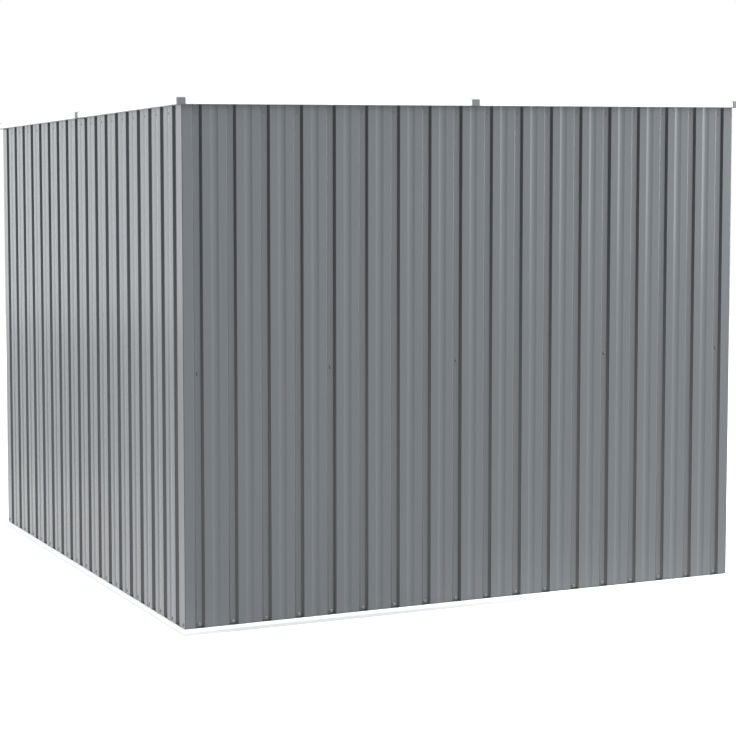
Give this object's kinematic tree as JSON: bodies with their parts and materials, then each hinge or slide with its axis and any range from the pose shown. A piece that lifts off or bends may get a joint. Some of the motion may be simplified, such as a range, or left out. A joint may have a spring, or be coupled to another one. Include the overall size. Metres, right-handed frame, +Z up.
{
  "type": "metal storage shed",
  "caption": "Hollow lean-to storage shed of ribbed grey steel sheets on a white base rail, with a white roof edge trim, grey trim caps and closed double doors in the low wall.",
  "frame": {"origin": "centre of the plan at ground level", "axes": "+Z up; -Y is the tall back wall and +Y the low front wall with the doorway; X runs along both, and the shed is as good as mirrored across X = 0"},
  "size_m": [2.297, 2.3337, 1.8706],
  "materials": {
    "wall_sheet": "satin grey coating on ribbed sheet",
    "roof_sheet": "satin grey coating on ribbed sheet",
    "base_white": "satin white coating",
    "trim_white": "satin white coating",
    "frame_white": "satin white coating",
    "cap_grey": "matte moulded grey",
    "door_hardware": "zinc plated"
  },
  "bodies": {
    "root": {"back_wall_sheet_1": "wall_sheet", "back_wall_sheet_2": "wall_sheet", "back_wall_sheet_3": "wall_sheet", "back_wall_sheet_4": "wall_sheet", "base_rail_back": "base_white", "base_rail_front": "base_white", "base_rail_left": "base_white", "base_rail_right": "base_white", "corner_caps": "cap_grey", "corner_posts": "frame_white", "door_braces": "frame_white", "door_handles": "door_hardware", "door_head": "trim_white", "door_hinges": "door_hardware", "door_jambs": "trim_white", "door_leaf_left": "wall_sheet", "door_leaf_right": "wall_sheet", "front_wall_sheet_left": "wall_sheet", "front_wall_sheet_over_door": "wall_sheet", "front_wall_sheet_right": "wall_sheet", "joint_caps": "cap_grey", "left_wall_sheet_1": "wall_sheet", "left_wall_sheet_2": "wall_sheet", "left_wall_sheet_3": "wall_sheet", "left_wall_sheet_4": "wall_sheet", "mid_rails": "frame_white", "right_wall_sheet_1": "wall_sheet", "right_wall_sheet_2": "wall_sheet", "right_wall_sheet_3": "wall_sheet", "right_wall_sheet_4": "wall_sheet", "roof_beams": "frame_white", "roof_sheet_1": "roof_sheet", "roof_sheet_2": "roof_sheet", "roof_sheet_3": "roof_sheet", "roof_sheet_4": "roof_sheet", "roof_trim_back": "trim_white", "roof_trim_front": "trim_white", "roof_trim_left": "trim_white", "roof_trim_right": "trim_white", "top_rail_back": "frame_white", "top_rail_front": "frame_white", "top_rail_left": "frame_white", "top_rail_right": "frame_white"}
  },
  "joints": []
}
